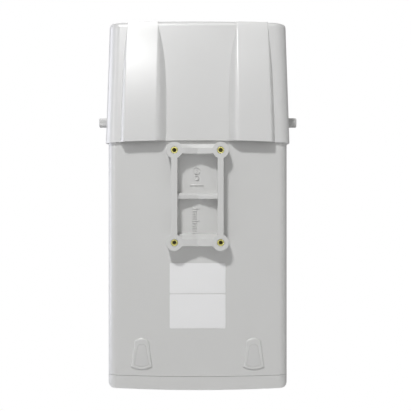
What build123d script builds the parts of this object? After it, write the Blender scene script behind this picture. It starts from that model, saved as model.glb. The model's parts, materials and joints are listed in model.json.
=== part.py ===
from build123d import *
from math import atan, exp, tan
import os

os.makedirs("parts", exist_ok=True)

# Outdoor wireless bridge, in millimetres. X is to the right seen from behind, Z is up, and the mounting
# face of the standing frame is Y = 0, with its four threaded inserts centred on the origin. The case is at
# positive Y.

# Case
standoff = 10.0  # mounting face to the case's rear wall
case_width = 119.5
case_depth = 37.7
case_below = 129.1  # origin to the bottom of the case, at its middle
case_wall = 2.6
side_radius = 6.0  # roundings of the upright edges
foot_radius = 4.0  # lower corners, seen from behind
foot_bow = 1.7  # how much lower the bottom is at its middle than at its corners
foot_height = 9.1  # front shell's foot that shows from behind, below the seam
seam_bow = 1.3
seam_gap = 0.2
parting_depth = 6.0  # rear wall's face to the plane where the shells meet
arc_reach = 1.2  # the bowed edges' arcs, as a share of half the case's width

# Spigot that the hood covers
hood_overlap = 4.0  # hood's rim to the shoulder above it
spigot_height = 20.7
spigot_side_step = 2.75
spigot_rear_step = 2.0
spigot_front_step = 1.5

# Hood
rim_height = 37.3  # origin to the hood's rim, at its middle
rim_fall = 1.5  # how much lower the rim is at its corners
hood_height = 79.6
top_fall = 1.3
hood_wall = 1.5
hood_gap = 0.4  # rim's clearance at the sides of the case
hood_face_gap = 0.5  # rim's clearance at the front and rear walls
hood_draft = 2.75  # how much each side leans in from the rim to the top
hood_radius = 8.0
hood_edge_radius = 3.2
stop_offset = 40.0  # the hood's two stop ribs, which rest on the deck
stop_width = 2.0
stop_height = 18.0

# Cable channels raised on the hood's rear wall
channel_rise = 5.7
channel_settle = 22.0  # length over which the rise grows to two thirds
channel_near = 26.5  # inner edge of its flat face at the top, from the middle
channel_far = 46.3
channel_near_spread = 2.2  # how far the edges spread from the top to the rim
channel_far_spread = 1.5
channel_near_slope = 1.5  # run of the flank for each millimetre of rise
channel_far_slope = 0.74
channel_stations = (0.12, 0.25, 0.48, 0.76, 1.05)  # heights of its sections, as shares from the top
channel_start = -0.03
hollow_start = 0.06
flank_lift = 0.3  # slope at the foot of a flank

# Standing frame
insert_spacing_x = 30.5
insert_spacing_z = 61.0
insert_radius = 2.3
insert_bore = 1.25
insert_length = 7.0
post_radius = 5.45
bar_width = 4.0
top_bar_above = 1.6  # end bars' faces, measured from their row of inserts
top_bar_below = 2.3
bottom_bar_above = 2.4
bottom_bar_below = 2.4
middle_bar_above = 0.8
middle_bar_below = 1.65
end_seat = 0.33 * standoff  # depth of the V seat in the end bars
end_seat_reach = 9.6  # half of that seat's width
middle_seat = 0.66 * standoff
middle_seat_edge = 2.4  # depth of the middle bar's V seat where it meets the side bars
top_slope = (2.4, 2.0)  # height and depth of the slope above each bar's face
middle_slope = (1.4, 1.4)
bottom_slope = (3.4, 0.6 * standoff)
strap_width = 14.0
strap_height = 4.8
strap_floor = 0.9  # under the strap slot

# Blisters and labels
blister_offset = 37.3
blister_top = 94.1  # below the origin
blister_bottom = 115.4
blister_width = 14.2
blister_top_width = 9.9
blister_rise = 1.2
blister_crown = 0.5  # height of its round top, as a share of half its width there
blister_bow = 0.25
cover_margin = 2.1
cover_top_margin = 4.1
cover_thickness = 1.0
label_width = 37.2
label_top = 44.4
label_split = 64.6
label_bottom = 88.0
label_gap = 0.5
label_thickness = 0.2

# Screws and fits
overrun = 1.0  # how far a cutting shape passes the faces that it cuts
screw_radius = 1.5
thread_clearance = 0.05
pass_clearance = 0.2
screw_length = 10.0
head_radius = 2.75
head_height = 2.0
head_clearance = 0.35
column_radius = 3.7
hood_screw_height = 50.7
hood_screw_depth = 33.0
hood_screw_head_radius = 3.3
hood_screw_head = 6.5
hood_screw_length = 9.0
hood_insert_length = 6.0
hood_boss_radius = 4.0
seat_inset = 0.65  # the screw's flat seat, in from the hood's rim
seal_inset = 0.6
seal_width = 1.4
seal_depth = 1.0

# Board and what it carries
board_width = 84.0
board_height = 140.0
board_thickness = 1.6
board_depth = 28.0  # rear wall's face to the board
board_gap = 1.0  # board's upper edge to the deck
board_hole_inset = 4.0
board_post_radius = 2.9
shield_width = 44.0
shield_height = 38.0
shield_rise = 3.0
shield_wall = 0.4
spreader_width = 56.0
spreader_height = 48.0
pad_thickness = 1.5
spreader_thickness = 2.0
jack_width = 16.2
jack_rise = 13.6
jack_length = 21.5
socket_width = 11.9
socket_rise = 8.2
socket_length = 13.0
contact_count = 8
contact_pitch = 1.02
contact_inset = 3.0  # socket's mouth to the contacts
contact_size = 0.45
connector_offset = 34.0
connector_radius = 3.175
connector_height = 11.0
connector_bore = 2.3
connector_hex = 4.0  # half of the width across its flats
connector_tail = 9.0
connector_tail_radius = 2.4
pin_radius = 0.55
pin_height = 8.8
washer_radius = 4.6
washer_thickness = 0.7
nut_height = 2.2
coax_radius = 0.9
coax_plug_radius = 1.5
coax_plug_height = 2.0
button_offset = 13.5
button_radius = 1.7
button_travel = 0.4
button_lip = 0.8
button_rise = 0.6
button_depth = 2.8  # centre of the button and the light pipe, from the board's rear face
switch_width = 6.0
switch_height = 4.2
plunger_radius = 1.0
plunger_height = 0.9
pipe_radius = 1.4
pipe_rise = 0.3
led_height = 1.8
socket_margin = 2.2  # socket to the board
shield_top = 8.0
coax_drop = 37.0  # connector's tail to the plug on the board
coax_straight = 13.0  # connector's tail to the first turn
coax_turned = 26.0
coax_bend = 6.3
ground_offset = 22.0
ground_head_radius = 3.4
ground_head_height = 2.4
ground_length = 7.0
ground_boss_radius = 3.2
ground_washer_radius = 4.2
ground_washer_thickness = 0.8

# Places that follow from them
rear = standoff
front = rear + case_depth
parting = rear + parting_depth
middle_depth = (rear + front) / 2
half_case = case_width / 2
shoulder = rim_height + hood_overlap
deck = shoulder + spigot_height
half_spigot = half_case - spigot_side_step
spigot_rear = rear + spigot_rear_step
spigot_front = front - spigot_front_step
seam = foot_height - case_below
half_rim = half_case + hood_gap + hood_wall
half_hood_top = half_rim - hood_draft
hood_rear = rear - hood_face_gap - hood_wall
hood_front = front + hood_face_gap + hood_wall
hood_top = rim_height + hood_height
hood_depth = hood_front - hood_rear
seat = half_rim - seat_inset
rim_low = rim_height - rim_fall
boss_end = half_case - hood_gap
insert_x = insert_spacing_x / 2
insert_z = insert_spacing_z / 2
board_rear = rear + board_depth
board_front = board_rear + board_thickness
board_top = deck - case_wall - board_gap
board_bottom = board_top - board_height
connector_flange = deck - case_wall - nut_height
connector_end = deck + connector_height
tail_end = connector_flange - connector_tail
button_y = board_rear - button_depth
blister_middle = -(blister_top + blister_bottom) / 2
lower_screws = [(-blister_offset, blister_middle), (blister_offset, blister_middle)]
upper_screw_offset = half_spigot - case_wall - column_radius - pass_clearance
upper_screw_height = deck - case_wall - column_radius - pass_clearance
upper_screws = [(-upper_screw_offset, upper_screw_height), (upper_screw_offset, upper_screw_height)]
lower_seat = rear + head_height  # under the heads of the lower screws
upper_seat = spigot_rear + head_height
board_hole_x = board_width / 2 - board_hole_inset
low_board_holes = [(x, board_bottom + board_hole_inset) for x in (-board_hole_x, board_hole_x)]
high_board_holes = [(x, board_top - board_hole_inset - column_radius)
                    for x in (-board_hole_x, board_hole_x)]
board_holes = low_board_holes + high_board_holes
insert_spots = [(x, z) for x in (-insert_x, insert_x) for z in (-insert_z, insert_z)]


def at_depth(depth):
    # A plane facing the mounting side, whose sketches are read as X and Z.
    return Plane.XZ.offset(-depth)


def rod(plane, spots, radius, length, mode=Mode.ADD):
    with BuildSketch(plane) as round_face:
        with Locations(*spots):
            Circle(radius)
    extrude(round_face.sketch, amount=length, mode=mode)


def block(x, y, z, mode=Mode.ADD):
    # A box from its lowest to its highest X, Y and Z.
    centre = [(low + high) / 2 for low, high in (x, y, z)]
    with Locations(tuple(centre)):
        Box(x[1] - x[0], y[1] - y[0], z[1] - z[0], mode=mode)


def bowed(middle, fall):
    # An arc across the case, lower at the sides by the given fall.
    reach = arc_reach * half_case
    end = middle - fall * (reach / half_case) ** 2
    ThreePointArc((-reach, end), (0, middle), (reach, end))


def band(high, high_fall, low, low_fall, near, far, mode):
    # Everything between two arcs across the case.
    with BuildSketch(at_depth(near)) as between:
        with BuildLine() as edge:
            bowed(high, high_fall)
            bowed(low, low_fall)
            upper, lower = edge.edges()
            Line(upper @ 0, lower @ 0)
            Line(upper @ 1, lower @ 1)
        make_face()
    extrude(between.sketch, amount=near - far, mode=mode)


def case_slab(inset, bottom, bow, near, far, mode=Mode.ADD, corner=0.0, with_spigot=True):
    # The case's outline from its bowed lower edge to the shoulder, and the spigot above it.
    half = half_case - inset
    corner_height = bottom + bow + inset
    with BuildSketch(at_depth(near)) as outline:
        with BuildLine():
            ThreePointArc((-half, corner_height), (0, bottom + inset), (half, corner_height))
            Polyline((half, corner_height), (half, shoulder - inset), (-half, shoulder - inset),
                     (-half, corner_height))
        make_face()
        if corner > 0:
            fillet(outline.vertices().group_by(Axis.Y)[0], corner)
        if with_spigot:
            with Locations((0, deck - inset)):
                Rectangle(2 * (half_spigot - inset), spigot_height + case_wall,
                          align=(Align.CENTER, Align.MAX))
    extrude(outline.sketch, amount=near - far, mode=mode)


def rounded_case():
    # The outside of the closed case, with rounded upright edges.
    with BuildSketch(Plane.XY.offset(-case_below)) as case_section:
        with Locations((0, middle_depth)):
            RectangleRounded(case_width, case_depth, side_radius)
    extrude(case_section.sketch, amount=case_below + shoulder)
    with BuildSketch(Plane.XY.offset(shoulder - case_wall)) as spigot_section:
        with Locations((0, (spigot_rear + spigot_front) / 2)):
            RectangleRounded(2 * half_spigot, spigot_front - spigot_rear, side_radius - case_wall / 2)
    extrude(spigot_section.sketch, amount=spigot_height + case_wall)


def tapered_slab(offset, margin, top_margin, near, far, mode=Mode.ADD):
    # A blister's outline: wider at the bottom, with a round top and a slightly bowed lower edge.
    top = -blister_top - top_margin
    bottom = -blister_bottom + margin
    half_top = blister_top_width / 2 - margin
    half_bottom = blister_width / 2 - margin
    crown = top - blister_crown * half_top
    bow = bottom + blister_bow * half_bottom
    with BuildSketch(at_depth(near)) as taper:
        with BuildLine():
            ThreePointArc((offset - half_top, crown), (offset, top), (offset + half_top, crown))
            ThreePointArc((offset - half_bottom, bow), (offset, bottom), (offset + half_bottom, bow))
            Line((offset - half_top, crown), (offset - half_bottom, bow))
            Line((offset + half_top, crown), (offset + half_bottom, bow))
        make_face()
    extrude(taper.sketch, amount=near - far, mode=mode)


def finish(piece, name, colour):
    piece.part.label = name
    piece.part.color = Color(colour)
    export_step(piece.part, f"parts/{name}.step")


# Seal: a rubber ring between the shells, just inside the case's outline
seal_near = parting - seal_depth
with BuildPart() as case_seal:
    case_slab(seal_inset, seam, seam_bow, seal_near, parting)
    case_slab(seal_inset + seal_width, seam, seam_bow, seal_near, parting, Mode.SUBTRACT)
finish(case_seal, "case_seal", "black")

# Rear shell: the rear wall, its rounded upright edges, and the two blisters
with BuildPart() as rear_shell:
    rounded_case()
    case_slab(0, seam, seam_bow, rear, parting, Mode.INTERSECT)
    case_slab(case_wall, seam, seam_bow, spigot_rear + case_wall, parting, Mode.SUBTRACT)
    case_slab(case_wall, seam, seam_bow, rear + case_wall, parting, Mode.SUBTRACT, with_spigot=False)
    for side in (-1, 1):
        tapered_slab(side * blister_offset, 0, 0, rear - blister_rise, rear + case_wall / 2)
    rod(at_depth(parting), lower_screws, column_radius, parting - rear - case_wall / 2)
    rod(at_depth(parting), upper_screws, column_radius, parting - spigot_rear - case_wall / 2)
    rod(at_depth(lower_seat), lower_screws, head_radius + head_clearance, standoff, Mode.SUBTRACT)
    rod(at_depth(upper_seat), upper_screws, head_radius + head_clearance, standoff, Mode.SUBTRACT)
    rod(at_depth(parting), lower_screws + upper_screws, screw_radius + pass_clearance, parting_depth,
        Mode.SUBTRACT)
    for side in (-1, 1):
        tapered_slab(side * blister_offset, cover_margin, cover_top_margin, rear - blister_rise,
                     rear - blister_rise + cover_thickness, Mode.SUBTRACT)
    add(case_seal.part, mode=Mode.SUBTRACT)
finish(rear_shell, "rear_shell", "gainsboro")

# Soft inlays that fill the blisters and hide the lower screws
with BuildPart() as screw_covers:
    for side in (-1, 1):
        tapered_slab(side * blister_offset, cover_margin, cover_top_margin, rear - blister_rise,
                     rear - blister_rise + cover_thickness)
finish(screw_covers, "screw_covers", "darkgray")

# Front shell: a deep tray whose foot wraps round to the rear wall, closed at the top by the deck
with BuildPart() as front_shell:
    rounded_case()
    case_slab(0, -case_below, foot_bow, rear, front, Mode.INTERSECT, corner=foot_radius)
    case_slab(0, seam - seam_gap, seam_bow, rear - case_wall, parting, Mode.SUBTRACT)
    case_slab(case_wall, seam, seam_bow, parting, spigot_front - case_wall, Mode.SUBTRACT)
    inner_corner = max(foot_radius - case_wall, thread_clearance)
    case_slab(case_wall, -case_below, foot_bow, parting + case_wall, front - case_wall, Mode.SUBTRACT,
              corner=inner_corner, with_spigot=False)
    for spots, face in ((lower_screws, front), (upper_screws, spigot_front)):
        rod(at_depth(parting), spots, column_radius, parting - face + case_wall / 2)
    rod(at_depth(parting), lower_screws + upper_screws, screw_radius + thread_clearance,
        -screw_length, Mode.SUBTRACT)
    for spots, face in ((low_board_holes, front), (high_board_holes, spigot_front)):
        rod(at_depth(board_front), spots, board_post_radius, board_front - face + case_wall / 2)
        rod(at_depth(board_front), spots, screw_radius + thread_clearance,
            board_front - face + case_wall / 2, Mode.SUBTRACT)
    for side in (-1, 1):
        boss_plane = Plane.YZ.offset(side * boss_end)
        spot = [(hood_screw_depth, hood_screw_height)]
        rod(boss_plane, spot, hood_boss_radius, -side * (hood_screw_length + case_wall))
        rod(boss_plane, spot, insert_radius + thread_clearance, -side * hood_insert_length, Mode.SUBTRACT)
        rod(boss_plane, spot, screw_radius + pass_clearance, -side * hood_screw_length, Mode.SUBTRACT)
        rod(Plane.XY.offset(deck), [(side * connector_offset, middle_depth)],
            connector_radius + pass_clearance, -2 * case_wall, Mode.SUBTRACT)
    rod(Plane.XY.offset(deck - case_wall / 2), [(ground_offset, middle_depth)],
        ground_boss_radius, -ground_length)
    rod(Plane.XY.offset(deck), [(ground_offset, middle_depth)], screw_radius + thread_clearance,
        -ground_length, Mode.SUBTRACT)
    rod(Plane.XY.offset(deck), [(button_offset, button_y)], button_radius + pass_clearance,
        -2 * case_wall, Mode.SUBTRACT)
    rod(Plane.XY.offset(deck), [(-button_offset, button_y)], pipe_radius + thread_clearance,
        -2 * case_wall, Mode.SUBTRACT)
    block((-jack_width / 2 - pass_clearance, jack_width / 2 + pass_clearance),
          (board_rear - jack_rise - pass_clearance, board_rear + pass_clearance),
          (deck - 2 * case_wall, deck + case_wall), Mode.SUBTRACT)
finish(front_shell, "front_shell", "whitesmoke")


def seat_outline(height, edge, middle, reach):
    # A bar between the side bars, seen from above, with its V seat.
    with BuildSketch(Plane.XY.offset(height)) as outline:
        with BuildLine():
            Polyline((-insert_x, edge), (-reach, edge), (0, middle), (reach, edge), (insert_x, edge),
                     (insert_x, standoff), (-insert_x, standoff), close=True)
        make_face()
    return outline.sketch


def crossbar(height, below, above, slope, edge, middle, reach):
    # A bar with an upright face, and a slope above it that runs back towards the case.
    slope_height, slope_depth = slope
    extrude(seat_outline(height - below, edge, middle, reach), amount=below + above)
    loft([seat_outline(height + above, edge, middle, reach),
          seat_outline(height + above + slope_height, edge + slope_depth, middle + slope_depth, reach)])


# Standing frame: two side bars with strap slots, and three bars with V seats for a pole
with BuildPart() as mounting_frame:
    for side in (-1, 1):
        block((side * insert_x - bar_width / 2, side * insert_x + bar_width / 2), (0, standoff),
              (-insert_z, insert_z))
    rod(at_depth(0), insert_spots, post_radius, -standoff)
    crossbar(insert_z, top_bar_below, top_bar_above, top_slope, 0, end_seat, end_seat_reach)
    crossbar(0, middle_bar_below, middle_bar_above, middle_slope, middle_seat_edge, middle_seat,
             insert_x - bar_width / 2)
    crossbar(-insert_z, bottom_bar_below, bottom_bar_above, bottom_slope, 0, end_seat, end_seat_reach)
    for row in (-1, 1):
        strap_middle = row * insert_z / 2
        block((-insert_x - bar_width, insert_x + bar_width),
              (standoff - strap_floor - strap_height, standoff - strap_floor),
              (strap_middle - strap_width / 2, strap_middle + strap_width / 2), Mode.SUBTRACT)
    rod(at_depth(0), insert_spots, insert_radius + thread_clearance, -insert_length, Mode.SUBTRACT)
finish(mounting_frame, "mounting_frame", "lightgray")

# Brass inserts: four in the standing frame, two for the hood's screws
with BuildPart() as frame_inserts:
    rod(at_depth(0), insert_spots, insert_radius, -insert_length)
    rod(at_depth(0), insert_spots, insert_bore, -insert_length, Mode.SUBTRACT)
finish(frame_inserts, "frame_inserts", "goldenrod")

with BuildPart() as hood_screw_inserts:
    for side in (-1, 1):
        boss_plane = Plane.YZ.offset(side * boss_end)
        spot = [(hood_screw_depth, hood_screw_height)]
        rod(boss_plane, spot, insert_radius, -side * hood_insert_length)
        rod(boss_plane, spot, screw_radius + thread_clearance, -side * hood_insert_length, Mode.SUBTRACT)
finish(hood_screw_inserts, "hood_screw_inserts", "goldenrod")


def cable_channel(side, margin, buried, mode=Mode.ADD):
    # A channel raised on the hood's rear wall, with soft flanks, or with a margin the hollow inside it.
    near_turn = margin * tan(atan(1 / channel_near_slope) / 2)
    far_turn = margin * tan(atan(1 / channel_far_slope) / 2)
    sections = []
    first = hollow_start if margin else channel_start
    for share in (first, *channel_stations):
        below = share * hood_height
        rise = channel_rise * (1 - exp((hood_edge_radius - below) / channel_settle)) - margin
        depth = max(buried, thread_clearance - rise)
        run = rise + depth
        near = channel_near + channel_near_spread * share + near_turn
        far = channel_far + channel_far_spread * share - far_turn
        crest = hood_rear - rise
        near_edge = (side * near, crest)
        far_edge = (side * far, crest)
        near_base = (side * (near - channel_near_slope * run), hood_rear + depth)
        far_base = (side * (far + channel_far_slope * run), hood_rear + depth)
        with BuildSketch(Plane.XY.offset(hood_top - below)) as section:
            with BuildLine():
                if margin:
                    Line(near_base, near_edge)
                    Line(far_edge, far_base)
                else:
                    Spline(near_base, near_edge, tangents=((side, -flank_lift), (side, 0)))
                    Spline(far_edge, far_base, tangents=((side, 0), (side, flank_lift)))
                Line(near_edge, far_edge)
                Line(far_base, near_base)
            make_face()
        sections.append(section.sketch)
    loft(sections, mode=mode)


# Hood: leans in towards its arched top, open at the bottom, with two stop ribs that rest on the deck
with BuildPart() as hood:
    for height, half in ((rim_low, half_rim), (hood_top, half_hood_top)):
        with BuildSketch(Plane.XY.offset(height)):
            with Locations((0, middle_depth)):
                RectangleRounded(2 * half, hood_depth, hood_radius)
    loft()
    band(hood_top, top_fall, rim_low - hood_wall, rim_fall, hood_rear - overrun, hood_front + overrun,
         Mode.INTERSECT)
    fillet(hood.faces().sort_by(Axis.Z)[-1].edges(), hood_edge_radius)
    for side in (-1, 1):
        cable_channel(side, 0, hood_wall / 2)
    for height, half in ((rim_low, half_rim), (hood_top - top_fall - hood_wall, half_hood_top)):
        with BuildSketch(Plane.XY.offset(height)):
            with Locations((0, middle_depth)):
                RectangleRounded(2 * (half - hood_wall), hood_depth - 2 * hood_wall,
                                 hood_radius - hood_wall)
    loft(mode=Mode.SUBTRACT)
    for side in (-1, 1):
        cable_channel(side, hood_wall, hood_wall + overrun, Mode.SUBTRACT)
        block((side * stop_offset - stop_width / 2, side * stop_offset + stop_width / 2),
              (spigot_front - case_wall, hood_front - hood_wall / 2), (deck, deck + stop_height))
        lower, upper = sorted((side * seat, side * (half_rim + hood_wall)))
        reach = hood_screw_head_radius + head_clearance
        block((lower, upper), (hood_screw_depth - reach, hood_screw_depth + reach),
              (rim_low - overrun, hood_screw_height + reach), Mode.SUBTRACT)
        lower, upper = sorted((side * boss_end, side * (half_rim + hood_wall)))
        reach = screw_radius + pass_clearance
        block((lower, upper), (hood_screw_depth - reach, hood_screw_depth + reach),
              (rim_low - overrun, hood_screw_height), Mode.SUBTRACT)
        rod(Plane.YZ.offset(lower), [(hood_screw_depth, hood_screw_height)], reach, upper - lower,
            Mode.SUBTRACT)
    band(hood_top, top_fall, rim_height, rim_fall, hood_rear - 2 * channel_rise, hood_front + overrun,
         Mode.INTERSECT)
finish(hood, "hood", "whitesmoke")

# Captive screws that clamp the hood's sides
for side, name in ((-1, "hood_screw_left"), (1, "hood_screw_right")):
    with BuildPart() as hood_screw:
        head_plane = Plane.YZ.offset(side * (seat + thread_clearance))
        spot = [(hood_screw_depth, hood_screw_height)]
        rod(head_plane, spot, hood_screw_head_radius, side * hood_screw_head)
        rod(head_plane, spot, screw_radius, -side * hood_screw_length)
    finish(hood_screw, name, "silver")

# Case and board screws, each a plain head on its shank
with BuildPart() as case_screws:
    for spots, face in ((lower_screws, lower_seat), (upper_screws, upper_seat)):
        rod(at_depth(face), spots, head_radius, head_height)
        rod(at_depth(face), spots, screw_radius, -screw_length)
finish(case_screws, "case_screws", "silver")

with BuildPart() as board_screws:
    rod(at_depth(board_rear), board_holes, head_radius, head_height)
    rod(at_depth(board_rear), board_holes, screw_radius, board_rear - spigot_front + case_wall)
finish(board_screws, "board_screws", "silver")

# Blank labels on the rear wall
for name, high, low in (("label_upper", -label_top, -label_split),
                        ("label_lower", -label_split - label_gap, -label_bottom)):
    with BuildPart() as label:
        block((-label_width / 2, label_width / 2), (rear - label_thickness, rear), (low, high))
    finish(label, name, "white")

# Main board and what is fixed to it
with BuildPart() as main_board:
    block((-board_width / 2, board_width / 2), (board_rear, board_front), (board_bottom, board_top))
    rod(at_depth(board_rear), board_holes, screw_radius + pass_clearance, -board_thickness, Mode.SUBTRACT)
finish(main_board, "main_board", "darkgreen")

shield_bottom = shield_top - shield_height
with BuildPart() as rf_shield:
    block((-shield_width / 2, shield_width / 2), (board_rear - shield_rise, board_rear),
          (shield_bottom, shield_top))
    block((-shield_width / 2 + shield_wall, shield_width / 2 - shield_wall),
          (board_rear - shield_rise + shield_wall, board_rear),
          (shield_bottom + shield_wall, shield_top - shield_wall), Mode.SUBTRACT)
finish(rf_shield, "rf_shield", "silver")

spreader_middle = (shield_top + shield_bottom) / 2
for name, near, thickness, colour in (("thermal_pad", board_front, pad_thickness, "steelblue"),
                                      ("heat_spreader", board_front + pad_thickness,
                                       spreader_thickness, "silver")):
    with BuildPart() as plate:
        block((-spreader_width / 2, spreader_width / 2), (near, near + thickness),
              (spreader_middle - spreader_height / 2, spreader_middle + spreader_height / 2))
    finish(plate, name, colour)

# Ethernet jack, its mouth level with the deck, and its eight contacts
socket_front = board_rear - socket_margin
with BuildPart() as ethernet_jack:
    block((-jack_width / 2, jack_width / 2), (board_rear - jack_rise, board_rear),
          (deck - jack_length, deck))
    block((-socket_width / 2, socket_width / 2), (socket_front - socket_rise, socket_front),
          (deck - socket_length, deck), Mode.SUBTRACT)
finish(ethernet_jack, "ethernet_jack", "silver")

with BuildPart() as jack_contacts:
    for index in range(contact_count):
        middle = (index - (contact_count - 1) / 2) * contact_pitch
        block((middle - contact_size / 2, middle + contact_size / 2),
              (socket_front - contact_size, socket_front), (deck - socket_length, deck - contact_inset))
finish(jack_contacts, "jack_contacts", "gold")

# Antenna connectors through the deck, with their washers, nuts and inner cables
for side, name in ((-1, "left"), (1, "right")):
    spot = [(side * connector_offset, middle_depth)]
    with BuildPart() as connector:
        rod(Plane.XY.offset(connector_flange), spot, connector_radius, connector_end - connector_flange)
        with BuildSketch(Plane.XY.offset(connector_flange)):
            with Locations(*spot):
                RegularPolygon(connector_hex, 6, major_radius=False)
        extrude(amount=nut_height)
        rod(Plane.XY.offset(connector_flange), spot, connector_tail_radius, -connector_tail)
        rod(Plane.XY.offset(connector_end), spot, connector_bore, -connector_height, Mode.SUBTRACT)
        rod(Plane.XY.offset(deck), spot, pin_radius, pin_height)
    finish(connector, f"antenna_connector_{name}", "gold")
    with BuildPart() as coax:
        x = side * connector_offset
        cable_y = board_rear - coax_plug_height / 2
        with BuildLine():
            FilletPolyline((x, middle_depth, tail_end), (x, middle_depth, tail_end - coax_straight),
                           (x, cable_y, tail_end - coax_turned),
                           (x, cable_y, tail_end - coax_drop + coax_plug_radius + thread_clearance),
                           radius=coax_bend)
        with BuildSketch(Plane.XY.offset(tail_end)):
            with Locations(*spot):
                Circle(coax_radius)
        sweep()
    finish(coax, f"coax_{name}", "black")

connector_spots = [(-connector_offset, middle_depth), (connector_offset, middle_depth)]
with BuildPart() as antenna_washers:
    rod(Plane.XY.offset(deck), connector_spots, washer_radius, washer_thickness)
    rod(Plane.XY.offset(deck), connector_spots, connector_radius + thread_clearance, washer_thickness,
        Mode.SUBTRACT)
finish(antenna_washers, "antenna_washers", "gold")

with BuildPart() as antenna_nuts:
    with BuildSketch(Plane.XY.offset(deck + washer_thickness)):
        with Locations(*connector_spots):
            RegularPolygon(connector_hex, 6, major_radius=False)
            Circle(connector_radius + thread_clearance, mode=Mode.SUBTRACT)
    extrude(amount=nut_height)
finish(antenna_nuts, "antenna_nuts", "gold")

with BuildPart() as coax_plugs:
    rod(at_depth(board_rear), [(x, tail_end - coax_drop) for x in (-connector_offset, connector_offset)],
        coax_plug_radius, coax_plug_height)
finish(coax_plugs, "coax_plugs", "gold")

# Reset button above its switch, and the light pipe above its lamp
deck_inner = deck - case_wall
lip_plane = Plane.XY.offset(deck_inner - button_lip)
plunger_top = deck_inner - button_lip - button_travel - pass_clearance
button_spot = [(button_offset, button_y)]
with BuildPart() as reset_button:
    rod(lip_plane, button_spot, button_radius, case_wall + button_lip + button_rise)
    rod(lip_plane, button_spot, button_radius + button_lip, button_lip)
finish(reset_button, "reset_button", "dimgray")

with BuildPart() as reset_switch:
    block((button_offset - switch_width / 2, button_offset + switch_width / 2),
          (board_rear - 2 * button_depth, board_rear),
          (plunger_top - plunger_height - switch_height, plunger_top - plunger_height))
    rod(Plane.XY.offset(plunger_top - plunger_height), button_spot, plunger_radius, plunger_height)
finish(reset_switch, "reset_switch", "black")

pipe_spot = [(-button_offset, button_y)]
with BuildPart() as light_pipe:
    rod(lip_plane, pipe_spot, pipe_radius + button_lip, button_lip)
    rod(lip_plane, pipe_spot, pipe_radius, case_wall + button_lip + pipe_rise)
finish(light_pipe, "light_pipe", "lightblue")

led_top = deck_inner - button_lip - pass_clearance
with BuildPart() as status_led:
    block((-button_offset - pipe_radius, -button_offset + pipe_radius),
          (board_rear - 2 * button_depth, board_rear), (led_top - led_height, led_top))
finish(status_led, "status_led", "palegreen")

# Earthing screw on the deck
ground_spot = [(ground_offset, middle_depth)]
with BuildPart() as ground_washer:
    rod(Plane.XY.offset(deck), ground_spot, ground_washer_radius, ground_washer_thickness)
    rod(Plane.XY.offset(deck), ground_spot, screw_radius + pass_clearance, ground_washer_thickness,
        Mode.SUBTRACT)
finish(ground_washer, "ground_washer", "silver")

with BuildPart() as ground_screw:
    washer_top = Plane.XY.offset(deck + ground_washer_thickness)
    rod(washer_top, ground_spot, ground_head_radius, ground_head_height)
    rod(washer_top, ground_spot, screw_radius, ground_washer_thickness - ground_length)
finish(ground_screw, "ground_screw", "silver")
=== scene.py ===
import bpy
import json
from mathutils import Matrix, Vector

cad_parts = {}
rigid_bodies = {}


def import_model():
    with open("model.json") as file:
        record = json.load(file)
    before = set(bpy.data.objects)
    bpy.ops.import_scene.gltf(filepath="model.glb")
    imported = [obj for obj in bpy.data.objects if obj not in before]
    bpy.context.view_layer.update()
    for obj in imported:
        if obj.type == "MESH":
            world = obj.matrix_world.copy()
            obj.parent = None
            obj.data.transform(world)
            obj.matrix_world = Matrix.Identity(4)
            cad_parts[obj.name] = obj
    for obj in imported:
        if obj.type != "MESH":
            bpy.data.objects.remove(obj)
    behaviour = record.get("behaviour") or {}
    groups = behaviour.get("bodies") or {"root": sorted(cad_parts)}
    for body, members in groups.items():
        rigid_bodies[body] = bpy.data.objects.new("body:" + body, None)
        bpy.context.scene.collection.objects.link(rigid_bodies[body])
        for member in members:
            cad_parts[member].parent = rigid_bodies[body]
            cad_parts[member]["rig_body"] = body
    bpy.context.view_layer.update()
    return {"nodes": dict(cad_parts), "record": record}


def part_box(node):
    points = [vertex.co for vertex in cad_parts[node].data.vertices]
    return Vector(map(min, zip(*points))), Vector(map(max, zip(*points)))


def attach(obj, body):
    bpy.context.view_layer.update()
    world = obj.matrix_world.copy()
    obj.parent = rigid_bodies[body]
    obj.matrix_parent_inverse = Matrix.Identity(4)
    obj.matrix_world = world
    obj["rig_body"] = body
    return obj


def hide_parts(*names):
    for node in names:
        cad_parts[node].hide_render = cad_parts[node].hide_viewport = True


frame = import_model()

import bmesh
import bpy
import json
import math
from mathutils import Matrix, Quaternion, Vector

nodes = frame["nodes"]
mm = 0.001


# Node helpers

def newGroup(name, inputs, outputs):
    group = bpy.data.node_groups.new(name, "ShaderNodeTree")
    for label, kind, value in inputs:
        socket = group.interface.new_socket(name=label, in_out="INPUT", socket_type=kind)
        socket.default_value = value
    for label, kind in outputs:
        group.interface.new_socket(name=label, in_out="OUTPUT", socket_type=kind)
    return group, group.nodes.new("NodeGroupInput"), group.nodes.new("NodeGroupOutput")


def addNode(tree, kind, settings=(), values=()):
    node = tree.nodes.new(kind)
    for key, value in dict(settings).items():
        setattr(node, key, value)
    for key, value in dict(values).items():
        node.inputs[key].default_value = value
    return node


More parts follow.
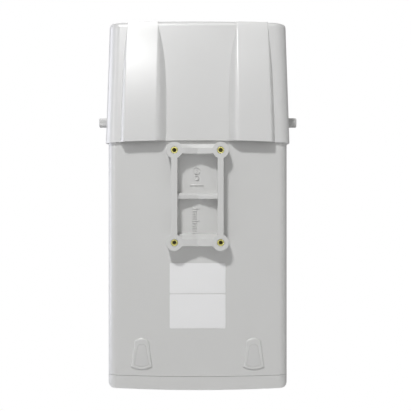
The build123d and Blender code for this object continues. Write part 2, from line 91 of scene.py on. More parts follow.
def grainGroup():
    # moulded or painted skin: a fine grain, a slow mottle of the tone, and a little wear of the gloss
    group, given, result = newGroup(
        "mouldedGrain",
        [("Colour", "NodeSocketColor", (0.5, 0.5, 0.5, 1)), ("Roughness", "NodeSocketFloat", 0.5),
         ("Grain Scale", "NodeSocketFloat", 900.0), ("Mottle", "NodeSocketFloat", 0.03)],
        [("Colour", "NodeSocketColor"), ("Roughness", "NodeSocketFloat"), ("Height", "NodeSocketFloat")])
    place = addNode(group, "ShaderNodeTexCoord")
    fine = addNode(group, "ShaderNodeTexNoise", values={"Detail": 3.0, "Roughness": 0.55})
    slow = addNode(group, "ShaderNodeTexNoise", values={"Scale": 28.0, "Detail": 4.0, "Roughness": 0.6})
    group.links.new(place.outputs["Object"], fine.inputs["Vector"])
    group.links.new(place.outputs["Object"], slow.inputs["Vector"])
    group.links.new(given.outputs["Grain Scale"], fine.inputs["Scale"])
    spread = addNode(group, "ShaderNodeMapRange",
                     values={"From Min": 0.3, "From Max": 0.7, "To Min": -1, "To Max": 1})
    group.links.new(slow.outputs["Fac"], spread.inputs["Value"])
    amount = addNode(group, "ShaderNodeMath", {"operation": "MULTIPLY_ADD"}, {2: 1.0})
    group.links.new(spread.outputs["Result"], amount.inputs[0])
    group.links.new(given.outputs["Mottle"], amount.inputs[1])
    tone = addNode(group, "ShaderNodeVectorMath", {"operation": "SCALE"})
    group.links.new(given.outputs["Colour"], tone.inputs[0])
    group.links.new(amount.outputs[0], tone.inputs["Scale"])
    group.links.new(tone.outputs[0], result.inputs["Colour"])
    gloss = addNode(group, "ShaderNodeMath", {"operation": "MULTIPLY_ADD"}, {1: 0.006})
    group.links.new(spread.outputs["Result"], gloss.inputs[0])
    group.links.new(given.outputs["Roughness"], gloss.inputs[2])
    group.links.new(gloss.outputs[0], result.inputs["Roughness"])
    group.links.new(fine.outputs["Fac"], result.inputs["Height"])
    return group


def metalGroup():
    # machined metal: fine turning lines across the piece, with a faint cloudy tarnish
    group, given, result = newGroup(
        "machinedMetal",
        [("Colour", "NodeSocketColor", (0.6, 0.6, 0.6, 1)), ("Roughness", "NodeSocketFloat", 0.3),
         ("Line Scale", "NodeSocketFloat", 1500.0)],
        [("Colour", "NodeSocketColor"), ("Roughness", "NodeSocketFloat"), ("Height", "NodeSocketFloat")])
    place = addNode(group, "ShaderNodeTexCoord")
    lines = addNode(group, "ShaderNodeTexNoise", values={"Detail": 2.0})
    cloud = addNode(group, "ShaderNodeTexNoise", values={"Scale": 260.0, "Detail": 5.0})
    group.links.new(place.outputs["Object"], lines.inputs["Vector"])
    group.links.new(place.outputs["Object"], cloud.inputs["Vector"])
    group.links.new(given.outputs["Line Scale"], lines.inputs["Scale"])
    shade = addNode(group, "ShaderNodeMapRange",
                    values={"From Min": 0.3, "From Max": 0.75, "To Min": 0.82, "To Max": 1.08})
    group.links.new(cloud.outputs["Fac"], shade.inputs["Value"])
    tone = addNode(group, "ShaderNodeVectorMath", {"operation": "SCALE"})
    group.links.new(given.outputs["Colour"], tone.inputs[0])
    group.links.new(shade.outputs["Result"], tone.inputs["Scale"])
    group.links.new(tone.outputs[0], result.inputs["Colour"])
    gloss = addNode(group, "ShaderNodeMath", {"operation": "MULTIPLY_ADD"}, {1: 0.18})
    group.links.new(cloud.outputs["Fac"], gloss.inputs[0])
    group.links.new(given.outputs["Roughness"], gloss.inputs[2])
    group.links.new(gloss.outputs[0], result.inputs["Roughness"])
    group.links.new(lines.outputs["Fac"], result.inputs["Height"])
    return group


mouldedGrain = grainGroup()
machinedMetal = metalGroup()


def makeMaterial(name, group, look):
    material = bpy.data.materials.new(name)
    material.use_nodes = True
    tree = material.node_tree
    shader = tree.nodes["Principled BSDF"]
    effect = addNode(tree, "ShaderNodeGroup", {"node_tree": group})
    for key, value in look["effect"].items():
        effect.inputs[key].default_value = value
    bump = addNode(tree, "ShaderNodeBump", values={"Strength": look["bump"], "Distance": look["bumpDepth"]})
    tree.links.new(effect.outputs["Colour"], shader.inputs["Base Color"])
    tree.links.new(effect.outputs["Roughness"], shader.inputs["Roughness"])
    tree.links.new(effect.outputs["Height"], bump.inputs["Height"])
    tree.links.new(bump.outputs["Normal"], shader.inputs["Normal"])
    for key, value in look.get("shader", {}).items():
        shader.inputs[key].default_value = value
    return material


def plastic(name, colour, roughness=0.5, grain=900.0, mottle=0.02, bump=0.12, **shader):
    look = {"effect": {"Colour": (*colour, 1), "Roughness": roughness, "Grain Scale": grain,
                       "Mottle": mottle},
            "bump": bump, "bumpDepth": 0.05 * mm, "shader": shader}
    return makeMaterial(name, mouldedGrain, look)


def metal(name, colour, roughness=0.25, lines=1500.0, bump=0.1):
    look = {"effect": {"Colour": (*colour, 1), "Roughness": roughness, "Line Scale": lines},
            "bump": bump, "bumpDepth": 0.03 * mm, "shader": {"Metallic": 1.0}}
    return makeMaterial(name, machinedMetal, look)


finishes = {
    "casePlastic": plastic("casePlastic", (0.68, 0.68, 0.668), roughness=0.32, grain=1400.0,
                           mottle=0.006),
    "hoodPlastic": plastic("hoodPlastic", (0.735, 0.735, 0.727), roughness=0.28, grain=1400.0,
                           mottle=0.003, bump=0.05),
    "labelFilm": plastic("labelFilm", (0.86, 0.86, 0.86), roughness=0.55, grain=500.0, mottle=0.01,
                         bump=0.05),
    "softInlay": plastic("softInlay", (0.63, 0.63, 0.62), roughness=0.7, grain=1800.0),
    "knobPlastic": plastic("knobPlastic", (0.60, 0.60, 0.59), roughness=0.45, grain=1400.0),
    "sealRubber": plastic("sealRubber", (0.02, 0.02, 0.02), roughness=0.75),
    "blackPlastic": plastic("blackPlastic", (0.025, 0.025, 0.027), roughness=0.45),
    "boardGreen": plastic("boardGreen", (0.015, 0.13, 0.06), roughness=0.35, grain=300.0, mottle=0.15),
    "gapPad": plastic("gapPad", (0.30, 0.38, 0.50), roughness=0.8, grain=600.0, mottle=0.06),
    "clearPipe": plastic("clearPipe", (0.86, 0.9, 0.92), roughness=0.12, bump=0.02),
    "lampBody": plastic("lampBody", (0.62, 0.78, 0.55), roughness=0.3),
    "brass": metal("brass", (0.52, 0.49, 0.19), roughness=0.5),
    "goldPlate": metal("goldPlate", (0.86, 0.64, 0.30), roughness=0.16),
    "zincSteel": metal("zincSteel", (0.60, 0.60, 0.61), roughness=0.28),
    "tinnedSteel": metal("tinnedSteel", (0.66, 0.66, 0.65), roughness=0.24, lines=700.0),
    "plainAluminium": metal("plainAluminium", (0.75, 0.75, 0.76), roughness=0.34, lines=400.0),
}
print("materials made:", len(finishes))

slotFinish = {
    "light_grey_plastic": "casePlastic", "hood_plastic": "hoodPlastic", "brass": "brass",
    "gold_plate": "goldPlate", "steel": "zincSteel", "seal_rubber": "sealRubber",
    "cover_rubber": "softInlay", "label_film": "labelFilm", "board": "boardGreen",
    "tinned_steel": "tinnedSteel", "pad": "gapPad", "aluminium": "plainAluminium",
    "dark_plastic": "blackPlastic", "screw_knob": "knobPlastic", "clear_plastic": "clearPipe",
    "cable_jacket": "blackPlastic", "lamp": "lampBody",
}
for part in frame["record"]["subparts"]:
    holder = nodes[part["node"]]
    holder.data.materials.clear()
    holder.data.materials.append(finishes[slotFinish[part["material_slot"]]])


def boxOf(nodeName):
    low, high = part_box(nodeName)
    return Vector(low), Vector(high)


def settle(piece, materialName, slotName, bodyName, *nodeNames):
    # material, slot (not used), body and the CAD nodes that the piece stands for
    piece.data.materials.clear()
    piece.data.materials.append(finishes[materialName])
    if nodeNames:
        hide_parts(*nodeNames)
    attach(piece, bodyName)
    return piece


def finishMesh(work, pieceName, smoothAngle=38, outward=True, weighted=False):
    bmesh.ops.remove_doubles(work, verts=work.verts, dist=0.001 * mm)
    if outward:
        bmesh.ops.recalc_face_normals(work, faces=work.faces)
    mesh = bpy.data.meshes.new(pieceName)
    work.to_mesh(mesh)
    work.free()
    mesh.shade_smooth()
    mesh.set_sharp_from_angle(angle=math.radians(smoothAngle))
    piece = bpy.data.objects.new(pieceName, mesh)
    bpy.context.scene.collection.objects.link(piece)
    if weighted:
        even = piece.modifiers.new("evenNormals", "WEIGHTED_NORMAL")
        even.keep_sharp = True
        even.weight = 80
    return piece


def refine(nodeName, edge, segments=2, angle=32, soft=None):
    # a merged copy of a CAD node whose sharp edges get a small moulded radius
    work = bmesh.new()
    work.from_mesh(nodes[nodeName].data)
    bmesh.ops.remove_doubles(work, verts=work.verts, dist=0.004 * mm)
    bmesh.ops.dissolve_limit(work, angle_limit=math.radians(0.3), verts=work.verts, edges=work.edges,
                             use_dissolve_boundaries=False)
    if soft:
        chosen = [e for e in work.edges if len(e.link_faces) == 2
                  and e.calc_face_angle(0) > math.radians(angle) and soft["pick"](e)]
        bmesh.ops.bevel(work, geom=chosen, offset=soft["radius"], offset_type="OFFSET", segments=4,
                        profile=0.5, affect="EDGES", clamp_overlap=False, material=-1)
    sharp = [e for e in work.edges if len(e.link_faces) == 2 and e.calc_face_angle(0) > math.radians(angle)]
    bmesh.ops.bevel(work, geom=sharp, offset=edge, offset_type="OFFSET", segments=segments, profile=0.5,
                    affect="EDGES", clamp_overlap=True, material=-1)
    words = nodeName.split("_")
    pieceName = words[0] + "".join(word.capitalize() for word in words[1:])
    piece = finishMesh(work, pieceName + "Skin", outward=False, weighted=True)
    slotName = next(p["material_slot"] for p in frame["record"]["subparts"] if p["node"] == nodeName)
    return settle(piece, slotFinish[slotName], slotName, nodes[nodeName]["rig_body"], nodeName)


# Cases, hood and standing frame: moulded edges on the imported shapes
caseEdges = {"hood": 0.35 * mm, "front_shell": 0.2 * mm, "mounting_frame": 0.45 * mm, "shell": 0.2 * mm,
             "blisterRadius": 1.1 * mm, "blisterHalfWidth": 4.6 * mm}
coverLow, coverHigh = boxOf("screw_covers")
blisterMiddle = (coverLow.z + coverHigh.z) / 2
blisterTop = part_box("rear_shell")[0][1]
blisterOffset = coverHigh.x - caseEdges["blisterHalfWidth"]


def onBlisterRim(edge):
    # the outer edge of a blister's raised top
    middle = (edge.verts[0].co + edge.verts[1].co) / 2
    if abs(middle.y - blisterTop) > 0.05 * mm:
        return False
    away = middle - Vector((math.copysign(blisterOffset, middle.x), middle.y, blisterMiddle))
    return any(abs(face.normal.y) < 0.5 and face.normal.dot(away) > 0 for face in edge.link_faces)


refine("hood", caseEdges["hood"])
refine("front_shell", caseEdges["front_shell"])
refine("mounting_frame", caseEdges["mounting_frame"])
refine("rear_shell", caseEdges["shell"], soft={"pick": onBlisterRim, "radius": caseEdges["blisterRadius"]})
print("cases, hood and frame refined")


def along(axis, origin):
    # turns a shape made about +Z so that +Z points along an axis, then moves it
    return Matrix.Translation(origin) @ Vector(axis).to_track_quat("Z", "Y").to_matrix().to_4x4()


def turned(work, profile, axis, origin, steps=48, teeth=None):
    # spins a profile of (radius, height) in mm; teeth pull every other column of an outer band inwards
    verts = [work.verts.new((radius * mm, 0, height * mm)) for radius, height in profile]
    edges = [work.edges.new(pair) for pair in zip(verts, verts[1:])]
    made = bmesh.ops.spin(work, geom=verts + edges, cent=(0, 0, 0), axis=(0, 0, 1), dvec=(0, 0, 0),
                          angle=math.tau, steps=steps, use_merge=True, use_duplicate=False)
    ring = set(verts)
    for item in made["geom_last"]:
        if isinstance(item, bmesh.types.BMVert):
            ring.add(item)
    seen, queue = set(ring), list(ring)
    while queue:
        for link in queue.pop().link_edges:
            for vert in link.verts:
                if vert not in seen:
                    seen.add(vert)
                    queue.append(vert)
    if teeth:
        for vert in seen:
            radius = math.hypot(vert.co.x, vert.co.y)
            column = round(math.atan2(vert.co.y, vert.co.x) / math.tau * steps)
            inBand = teeth["low"] * mm < vert.co.z < teeth["high"] * mm
            if column % 2 and teeth["inner"] * mm < radius and inBand:
                vert.co.x *= 1 - teeth["depth"] * mm / radius
                vert.co.y *= 1 - teeth["depth"] * mm / radius
    bmesh.ops.transform(work, matrix=along(axis, origin), verts=list(seen))


def threadRings(radius, depth, low, high, pitch):
    # a run of V grooves up or down a thread, as profile points
    count = max(1, int((high - low) / pitch))
    points = []
    for index in range(count):
        start = low + index * pitch
        points += [(radius, start), (radius - depth, start + pitch / 2)]
    return points + [(radius, low + count * pitch)]


# Threaded brass inserts of the standing frame: knurled outside, countersunk and threaded inside
insertLook = {"outer": 2.28, "bore": 1.25, "thread": 0.12, "pitch": 0.5, "length": 6.9, "sink": 0.34,
              "knurl": 0.18, "steps": 48}
spacing = frame["record"]["mounts"][0]["dims"]
work = bmesh.new()
outer, bore = insertLook["outer"], insertLook["bore"]
grooves = [(bore + insertLook["thread"] - (radius - bore), height)
           for radius, height in threadRings(bore + insertLook["thread"], insertLook["thread"],
                                             insertLook["sink"] + 0.2, insertLook["length"] - 0.4,
                                             insertLook["pitch"])]
profile = ([(bore, insertLook["length"])] + grooves[::-1]
           + [(bore + insertLook["sink"], 0.02), (outer - 0.2, 0.02), (outer, 0.2),
              (outer, insertLook["length"]), (bore, insertLook["length"])])
for across in (-1, 1):
    for up in (-1, 1):
        spot = (across * spacing["spacing_x_mm"] / 2 * mm, 0, up * spacing["spacing_y_mm"] / 2 * mm)
        turned(work, profile, (0, 1, 0), spot, insertLook["steps"],
               {"inner": outer - 0.05, "low": 0.1, "high": 20, "depth": insertLook["knurl"]})
settle(finishMesh(work, "frameInsertSet"), "brass", "brass", "case", "frame_inserts")
print("inserts made")

# Hood screws: a straight-knurled head on its threaded shank
knobLook = {"knurl": 0.22, "teeth": 36, "chamfer": 0.5, "neck": 0.35, "shank": 1.5, "shankLength": 9.0,
            "thread": 0.12, "pitch": 0.5, "plain": 1.5}
for side, nodeName, bodyName, pieceName in ((-1, "hood_screw_left", "left_screw", "hoodScrewLeftKnob"),
                                            (1, "hood_screw_right", "right_screw", "hoodScrewRightKnob")):
    low, high = boxOf(nodeName)
    radius = (high.z - low.z) / 2 / mm
    reach = (high.x - low.x) / mm
    innerEnd = Vector((high.x if side < 0 else low.x, (low.y + high.y) / 2, (low.z + high.z) / 2))
    shankLength = knobLook["shankLength"]
    work = bmesh.new()
    profile = ([(0, 0.0), (knobLook["shank"] - 0.3, 0.0)]
               + threadRings(knobLook["shank"], knobLook["thread"], 0.3, shankLength - knobLook["plain"],
                             knobLook["pitch"])
               + [(knobLook["shank"], shankLength), (radius - knobLook["neck"], shankLength),
                  (radius, shankLength + knobLook["neck"]), (radius, reach - knobLook["chamfer"]),
                  (radius - knobLook["chamfer"], reach), (0, reach)])
    turned(work, profile, (side, 0, 0), innerEnd, 2 * knobLook["teeth"],
           {"inner": radius - 0.1, "low": shankLength, "high": reach, "depth": knobLook["knurl"]})
    settle(finishMesh(work, pieceName, smoothAngle=25), "knobPlastic", "screw_knob", bodyName, nodeName)
print("hood screws made")


def boxPiece(work, low, high, bevel=0.0, segments=2):
    # a block from its lowest to its highest corner, in mm, with rounded edges
    low, high = Vector(low), Vector(high)
    place = Matrix.Translation((low + high) / 2 * mm) @ Matrix.Diagonal(((high - low) * mm).to_4d())
    place[3][3] = 1.0
    made = bmesh.ops.create_cube(work, size=1.0, matrix=place)
    if bevel > 0:
        edges = {e for v in made["verts"] for e in v.link_edges}
        bmesh.ops.bevel(work, geom=list(edges), offset=bevel * mm, offset_type="OFFSET", segments=segments,
                        profile=0.5, affect="EDGES", clamp_overlap=True, material=-1)


# Labels: thin film with rounded corners
labelLook = {"corner": 0.9, "softEdge": 0.05}
for nodeName, pieceName in (("label_upper", "upperLabel"), ("label_lower", "lowerLabel")):
    low, high = boxOf(nodeName)
    work = bmesh.new()
    boxPiece(work, low / mm, high / mm)
    corners = [e for e in work.edges if abs(e.verts[0].co.y - e.verts[1].co.y) > 0.1 * mm]
    bmesh.ops.bevel(work, geom=corners, offset=labelLook["corner"] * mm, offset_type="OFFSET", segments=5,
                    profile=0.5, affect="EDGES", clamp_overlap=True, material=-1)
    rim = [e for e in work.edges if all(abs(v.co.y - low.y) < 0.01 * mm for v in e.verts)]
    bmesh.ops.bevel(work, geom=rim, offset=labelLook["softEdge"] * mm, offset_type="OFFSET", segments=1,
                    profile=0.5, affect="EDGES", clamp_overlap=True, material=-1)
    settle(finishMesh(work, pieceName, weighted=True), "labelFilm", "label_film", "case", nodeName)

# Soft inlays in the blisters, with a rounded edge
inlayLook = {"rounding": 0.3}
refine("screw_covers", inlayLook["rounding"] * mm, segments=3)
print("labels and inlays made")

# Moulded marks on the rear wall, inside the standing frame: a ring with an arrow, a plain ring and a bar
# above, and a plain scale below
markLook = {"height": 0.65, "sunk": 0.15, "middle": -0.7, "ringTop": 17.2, "ring": 2.5, "line": 0.42,
            "ringLow": 12.4, "smallRing": 1.7, "barHeight": 7.6, "barWidth": 8.6, "bar": 0.9,
            "scaleMiddle": -1.1, "scaleTop": -8.0, "scaleStep": 1.62, "scaleCount": 11,
            "longTick": 5.2, "shortTick": 3.2, "tick": 0.55, "longEvery": 5, "soft": 0.1, "ringSteps": 40,
            "stem": 0.25, "stemLow": 1.4, "stemHigh": 0.5, "stemSoft": 0.08, "arrowFoot": 0.95,
            "arrowTop": 0.85, "arrowRise": 0.75}
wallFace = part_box("label_upper")[1][1] / mm
near, deep = wallFace - markLook["height"], wallFace + markLook["sunk"]


def ringMark(work, middle, height, radius, line):
    inside, rise, soft = radius - line, deep - near, markLook["soft"]
    turned(work, [(inside, 0), (inside, rise - soft), (inside + soft, rise), (radius - soft, rise),
                  (radius, rise - soft), (radius, 0), (inside, 0)],
           (0, -1, 0), (middle * mm, deep * mm, height * mm), markLook["ringSteps"])


work = bmesh.new()
middle = markLook["middle"]
ringMark(work, middle, markLook["ringTop"], markLook["ring"], markLook["line"])
ringMark(work, middle, markLook["ringLow"], markLook["smallRing"], markLook["line"])
boxPiece(work, (middle - markLook["barWidth"] / 2, near, markLook["barHeight"] - markLook["bar"] / 2),
         (middle + markLook["barWidth"] / 2, deep, markLook["barHeight"] + markLook["bar"] / 2),
         markLook["soft"])
boxPiece(work, (middle - markLook["stem"], near, markLook["ringTop"] - markLook["stemLow"]),
         (middle + markLook["stem"], deep, markLook["ringTop"] + markLook["stemHigh"]), markLook["stemSoft"])
arrow = bmesh.ops.create_cone(work, cap_ends=True, segments=3, radius1=markLook["arrowFoot"] * mm,
                              radius2=markLook["arrowTop"] * mm, depth=(deep - near) * mm)
arrowSpot = Vector((middle, (near + deep) / 2, markLook["ringTop"] + markLook["arrowRise"])) * mm
quarter = math.radians(90)
bmesh.ops.transform(work, matrix=Matrix.Translation(arrowSpot) @ Matrix.Rotation(quarter, 4, "X")
                    @ Matrix.Rotation(quarter, 4, "Z"), verts=arrow["verts"])
for index in range(markLook["scaleCount"]):
    height = markLook["scaleTop"] - index * markLook["scaleStep"]
    width = markLook["shortTick"] if index % markLook["longEvery"] else markLook["longTick"]
    start = markLook["scaleMiddle"] - markLook["longTick"] / 2
    boxPiece(work, (start, near, height - markLook["tick"] / 2),
             (start + width, deep, height + markLook["tick"] / 2), markLook["soft"])
settle(finishMesh(work, "mouldedMarks"), "casePlastic", "light_grey_plastic", "case")
print("marks made")

# Antenna connectors on the deck: threaded barrels with a socket, toothed washers and chamfered nuts
antennaLook = {"barrel": 3.175, "thread": 0.16, "pitch": 0.7, "lip": 0.35, "socket": 2.3, "pocket": 5.0,
               "floorStep": 0.3, "pin": 0.55, "pinHeight": 8.8, "pinTip": 0.2, "tail": 2.4, "tailLength": 9.0,
               "hexCorner": 4.6, "hexHeight": 2.1, "hexMiddle": 1.1, "threadStart": 2.6, "steps": 40}
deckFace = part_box("antenna_washers")[0][2] / mm
for side in ("left", "right"):
    nodeName = "antenna_connector_" + side
    low, high = boxOf(nodeName)
    middle = (low + high) / 2
    barrel, bore, tail, pin = (antennaLook[key] for key in ("barrel", "socket", "tail", "pin"))
    base, top = low.z / mm, high.z / mm
    flange = base + antennaLook["tailLength"]
    pocketFloor = top - antennaLook["pocket"] - 0.2
    pinTop = deckFace + antennaLook["pinHeight"]
    work = bmesh.new()
    threads = threadRings(barrel, antennaLook["thread"], flange + antennaLook["threadStart"],
                          top - antennaLook["lip"] - 0.3, antennaLook["pitch"])
    turned(work, [(0, base), (tail - 0.2, base), (tail, base + 0.2), (tail, flange), (barrel, flange)]
           + threads
           + [(barrel - antennaLook["lip"], top), (bore, top), (bore, top - antennaLook["pocket"]),
              (bore - antennaLook["floorStep"], pocketFloor), (pin, pocketFloor), (pin, pinTop - 0.3),
              (pin - antennaLook["pinTip"], pinTop), (0, pinTop)],
           (0, 0, 1), (middle.x, middle.y, 0), antennaLook["steps"])
    corner = antennaLook["hexCorner"] * mm
    hexSpot = Matrix.Translation((middle.x, middle.y, (flange + antennaLook["hexMiddle"]) * mm))
    bmesh.ops.create_cone(work, cap_ends=True, segments=6, radius1=corner, radius2=corner,
                          depth=antennaLook["hexHeight"] * mm,
                          matrix=hexSpot @ Matrix.Rotation(math.radians(30), 4, "Z"))
    settle(finishMesh(work, "antennaSocket" + side.capitalize()), "goldPlate", "gold_plate", "case",
           nodeName)

antennaSpots = [(boxOf("antenna_connector_" + side)[0] + boxOf("antenna_connector_" + side)[1]) / 2
                for side in ("left", "right")]
toothLook = {"inner": 4.4, "low": -1, "high": 1, "depth": 0.45, "steps": 48}
work = bmesh.new()
washerLow, washerHigh = boxOf("antenna_washers")
for spot in antennaSpots:
    turned(work, [(3.25, 0.05), (4.55, 0.0), (4.55, 0.45), (3.25, 0.65), (3.25, 0.05)], (0, 0, 1),
           (spot.x, spot.y, washerLow.z), toothLook["steps"], toothLook)
settle(finishMesh(work, "toothedWashers", smoothAngle=25), "goldPlate", "gold_plate", "case",
       "antenna_washers")

nutLook = {"across": 8.0, "bore": 3.25, "height": 2.2, "cutsPerSide": 5, "chamferFrom": 0.1, "chamfer": 0.6}
work = bmesh.new()
halfAcross = nutLook["across"] / 2 * mm
for spot in antennaSpots:
    outerRing = bmesh.ops.create_circle(work, cap_ends=False, segments=6,
                                        radius=halfAcross / math.cos(math.pi / 6),
                                        matrix=Matrix.Rotation(math.radians(30), 4, "Z"))["verts"]
    bmesh.ops.subdivide_edges(work, edges=list({e for v in outerRing for e in v.link_edges}),
                              cuts=nutLook["cutsPerSide"])
    ring = [v for v in work.verts if not v.link_faces]
    inner = bmesh.ops.create_circle(work, cap_ends=False, segments=6 * (nutLook["cutsPerSide"] + 1),
                                    radius=nutLook["bore"] * mm)["verts"]
    loops = [e for e in work.edges if not e.link_faces]
    face = bmesh.ops.bridge_loops(work, edges=loops)["faces"]
    grown = bmesh.ops.extrude_face_region(work, geom=face)
    lifted = [g for g in grown["geom"] if isinstance(g, bmesh.types.BMVert)]
    bmesh.ops.translate(work, verts=lifted, vec=(0, 0, nutLook["height"] * mm))
    for vert in lifted:
        radius = math.hypot(vert.co.x, vert.co.y)
        if radius > halfAcross + nutLook["chamferFrom"] * mm:
            vert.co.z -= (radius - halfAcross) * nutLook["chamfer"]
    bmesh.ops.transform(work, matrix=Matrix.Translation((spot.x, spot.y, washerHigh.z)),
                        verts=list(set(ring + inner + lifted)))
settle(finishMesh(work, "antennaHexNuts", smoothAngle=22), "goldPlate", "gold_plate", "case",
       "antenna_nuts")
print("antenna connectors made")

# Ethernet jack: a shield with a rounded mouth, and a socket with its latch step
jackLook = {"socketWidth": 11.9, "socketRise": 8.2, "latchWidth": 6.2, "latchStep": 1.5, "depth": 13.0,
            "margin": 2.2, "edge": 0.35}
low, high = boxOf("ethernet_jack")
work = bmesh.new()
boxPiece(work, low / mm, high / mm)
socketHigh = high.y / mm - jackLook["margin"]
socketLow = socketHigh - jackLook["socketRise"]
latchLow = socketLow - jackLook["latchStep"]
cuts = [((across * width / 2, 0), (1, 0, 0)) for width in (jackLook["socketWidth"], jackLook["latchWidth"])
        for across in (1, -1)]
cuts += [((0, cutDepth), (0, 1, 0)) for cutDepth in (socketHigh, socketLow, latchLow)]
for (cutAcross, cutDepth), normal in cuts:
    bmesh.ops.bisect_plane(work, geom=list(work.verts) + list(work.edges) + list(work.faces),
                           plane_co=(cutAcross * mm, cutDepth * mm, 0), plane_no=normal)


def inSocket(face):
    middle = face.calc_center_median() / mm
    if face.normal.z < 0.9:
        return False
    wide = abs(middle.x) < jackLook["socketWidth"] / 2 and socketLow < middle.y < socketHigh
    latch = abs(middle.x) < jackLook["latchWidth"] / 2 and latchLow < middle.y < socketLow
    return wide or latch


opening = [f for f in work.faces if inSocket(f)]
grown = bmesh.ops.extrude_face_region(work, geom=opening)
bmesh.ops.translate(work, verts=[g for g in grown["geom"] if isinstance(g, bmesh.types.BMVert)],
                    vec=(0, 0, -jackLook["depth"] * mm))
bmesh.ops.delete(work, geom=opening, context="FACES_ONLY")
bmesh.ops.recalc_face_normals(work, faces=work.faces)
bmesh.ops.dissolve_limit(work, angle_limit=math.radians(1), verts=work.verts, edges=work.edges,
                         use_dissolve_boundaries=False)
rims = [e for e in work.edges if len(e.link_faces) == 2 and e.calc_face_angle(0) > 1.0
        and (e.verts[0].co.z > high.z - 0.01 * mm or e.verts[1].co.z > high.z - 0.01 * mm)]
bmesh.ops.bevel(work, geom=rims, offset=jackLook["edge"] * mm, offset_type="OFFSET", segments=3,
                profile=0.5, affect="EDGES", clamp_overlap=True, material=-1)
settle(finishMesh(work, "jackShield", weighted=True), "tinnedSteel", "tinned_steel", "case",
       "ethernet_jack")
print("ethernet jack made")

# Small things on the deck: reset button, light pipe, earthing screw and its washer
low, high = boxOf("reset_button")
middle, height = (low + high) / 2, (high.z - low.z) / mm
work = bmesh.new()
turned(work, [(0, 0), (2.4, 0), (2.5, 0.1), (2.5, 0.7), (2.4, 0.8), (1.7, 0.8), (1.7, height - 0.25),
              (1.45, height), (1.2, height), (0.7, height - 0.18), (0, height - 0.25)],
       (0, 0, 1), (middle.x, middle.y, low.z), 40)
settle(finishMesh(work, "dishedButton"), "blackPlastic", "dark_plastic", "reset", "reset_button")

low, high = boxOf("light_pipe")
middle, height = (low + high) / 2, (high.z - low.z) / mm
work = bmesh.new()
turned(work, [(0, 0), (2.1, 0), (2.2, 0.1), (2.2, 0.7), (2.1, 0.8), (1.4, 0.8), (1.4, height - 0.35),
              (1.25, height - 0.15), (0.9, height - 0.04), (0, height)],
       (0, 0, 1), (middle.x, middle.y, low.z), 40)
settle(finishMesh(work, "domedLightPipe", smoothAngle=50), "clearPipe", "clear_plastic", "case", "light_pipe")

low, high = boxOf("ground_screw")
middle, height = (low + high) / 2, (high.z - low.z) / mm
shank = height - 2.4  # below the head
work = bmesh.new()
turned(work, [(0, 0), (1.2, 0)] + threadRings(1.5, 0.14, 0.3, shank - 0.4, 0.5)
       + [(1.5, shank), (3.35, shank), (3.4, shank + 0.1), (3.4, shank + 1.2), (3.15, shank + 1.9),
          (2.6, shank + 2.3), (1.9, height), (0, height)], (0, 0, 1), (middle.x, middle.y, low.z), 48)
driveLook = {"halfWidth": 0.35, "reach": 1.75, "depth": 1.2}
halfWidth = driveLook["halfWidth"]
for normal in (Vector((1, 0, 0)), Vector((0, 1, 0))):
    for away in (halfWidth, -halfWidth):
        bmesh.ops.bisect_plane(work, geom=list(work.verts) + list(work.edges) + list(work.faces),
                               plane_co=(middle.x + away * mm * normal.x, middle.y + away * mm * normal.y, 0),
                               plane_no=normal)
cross = []
for face in work.faces:
    place = face.calc_center_median()
    nearer, further = sorted((abs(place.x - middle.x) / mm, abs(place.y - middle.y) / mm))
    onTop = place.z > high.z - 0.02 * mm and face.normal.z > 0.9
    if onTop and nearer < halfWidth and further < driveLook["reach"]:
        cross.append(face)
grown = bmesh.ops.extrude_face_region(work, geom=cross)
bmesh.ops.translate(work, verts=[g for g in grown["geom"] if isinstance(g, bmesh.types.BMVert)],
                    vec=(0, 0, -driveLook["depth"] * mm))
bmesh.ops.delete(work, geom=cross, context="FACES_ONLY")
settle(finishMesh(work, "earthingScrew"), "zincSteel", "steel", "case", "ground_screw")

low, high = boxOf("ground_washer")
middle = (low + high) / 2
work = bmesh.new()
turned(work, [(1.7, 0.05), (4.1, 0), (4.2, 0.1), (4.2, 0.6), (4.05, 0.78), (1.7, 0.78), (1.7, 0.05)],
       (0, 0, 1), (middle.x, middle.y, low.z), 48)
settle(finishMesh(work, "earthingWasher"), "zincSteel", "steel", "case", "ground_washer")
print("deck fittings made")


# Camera: straight on from behind, square to the mounting face
cameraLook = {"distance": 0.75, "plane": 15 * mm, "across": 5.25 * mm, "height": -6.0 * mm,
              "mmPerUnit": 0.6712, "imageWidth": 411, "sensor": 36.0}
cameraData = bpy.data.cameras.new("rearCamera")
cameraData.sensor_width = cameraLook["sensor"]
frameWidth = cameraLook["mmPerUnit"] * cameraLook["imageWidth"] * mm
cameraData.lens = cameraLook["sensor"] * cameraLook["distance"] / frameWidth
camera = bpy.data.objects.new("rearCamera", cameraData)
camera.location = (cameraLook["across"], cameraLook["plane"] - cameraLook["distance"], cameraLook["height"])
camera.rotation_euler = (math.radians(90), 0, 0)
bpy.context.scene.collection.objects.link(camera)
bpy.context.scene.camera = camera

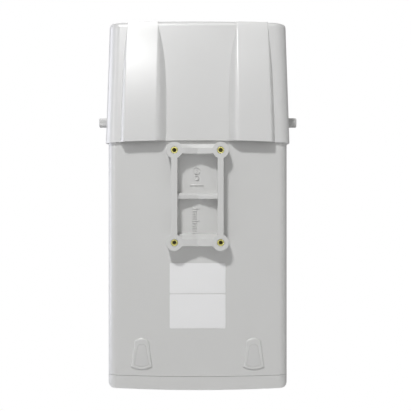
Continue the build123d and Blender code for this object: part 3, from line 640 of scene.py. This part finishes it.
# Soft studio light: a key from high on the left, a broad fill from the right, one for the case's front,
# a cool edge light from the left, and three cards that only show as a sheen
lights = {
    "key": {"towards": (-0.30, -1.0, 1.06), "distance": 2.0, "size": (0.2, 0.2), "watts": 20.6,
            "tint": (1, 1, 1)},
    "fill": {"towards": (0.75, -1.0, 0.1), "distance": 1.8, "size": (1.2, 1.2), "watts": 2.1,
             "tint": (1, 1, 1)},
    "front": {"towards": (0.0, 1.0, 0.55), "distance": 1.8, "size": (1.2, 1.2), "watts": 7.0,
              "tint": (1, 1, 1)},
    "edge": {"towards": (-1.0, 0.22, 0.05), "distance": 0.8, "size": (0.5, 0.5), "watts": 3.0,
             "tint": (0.88, 0.89, 1.0)},
    "sheen": {"towards": (-0.72, -0.68, 0.2), "distance": 0.9, "size": (0.12, 0.5), "watts": 1.7,
              "tint": (1, 1, 1), "glossOnly": True},
    "crown": {"towards": (-0.12, -0.42, 1.0), "distance": 1.0, "size": (0.6, 0.8), "watts": 5.0,
              "tint": (1, 1, 1), "glossOnly": True},
    "card": {"towards": (-0.217, -0.832, 0.512), "distance": 0.946, "size": (0.2, 0.5), "watts": 8.0,
             "tint": (1, 1, 1), "glossOnly": True, "roll": 24},
}
for name, look in lights.items():
    lampData = bpy.data.lights.new(name, "AREA")
    lampData.shape = "RECTANGLE"
    lampData.size, lampData.size_y = look["size"]
    lampData.energy = look["watts"]
    lampData.color = look["tint"]
    lamp = bpy.data.objects.new(name, lampData)
    lamp.visible_diffuse = not look.get("glossOnly", False)
    towards = Vector(look["towards"]).normalized()
    lamp.location = towards * look["distance"]
    lamp.rotation_mode = "QUATERNION"
    lamp.rotation_quaternion = (towards.to_track_quat("Z", "Y")
                                @ Quaternion((0, 0, 1), math.radians(look.get("roll", 0))))
    bpy.context.scene.collection.objects.link(lamp)

studioLook = {"surround": 0.275, "backdrop": 1.0, "floorRadius": 2.2, "floorHeight": -0.6}
world = bpy.data.worlds.new("studio")
bpy.context.scene.world = world
world.use_nodes = True
surround = world.node_tree.nodes["Background"]
surround.inputs["Color"].default_value = (1, 1, 1, 1)
surround.inputs["Strength"].default_value = studioLook["surround"]
backdrop = addNode(world.node_tree, "ShaderNodeBackground",
                   values={"Color": (1, 1, 1, 1), "Strength": studioLook["backdrop"]})
rays = addNode(world.node_tree, "ShaderNodeLightPath")
pick = addNode(world.node_tree, "ShaderNodeMixShader")
world.node_tree.links.new(rays.outputs["Is Camera Ray"], pick.inputs[0])
world.node_tree.links.new(surround.outputs[0], pick.inputs[1])
world.node_tree.links.new(backdrop.outputs[0], pick.inputs[2])
world.node_tree.links.new(pick.outputs[0], world.node_tree.nodes["World Output"].inputs["Surface"])
bpy.context.scene.view_settings.view_transform = "Standard"

floorMesh = bpy.data.meshes.new("floor")
floorWork = bmesh.new()
bmesh.ops.create_circle(floorWork, cap_ends=True, radius=studioLook["floorRadius"], segments=96,
                        matrix=Matrix.Translation((0, 0, studioLook["floorHeight"])))
floorWork.to_mesh(floorMesh)
floorWork.free()
floor = bpy.data.objects.new("floor", floorMesh)
floorMesh.materials.append(plastic("paleFloor", (0.9, 0.9, 0.9), roughness=0.8, grain=40.0, mottle=0.005))
bpy.context.scene.collection.objects.link(floor)
print("camera, light and floor set")
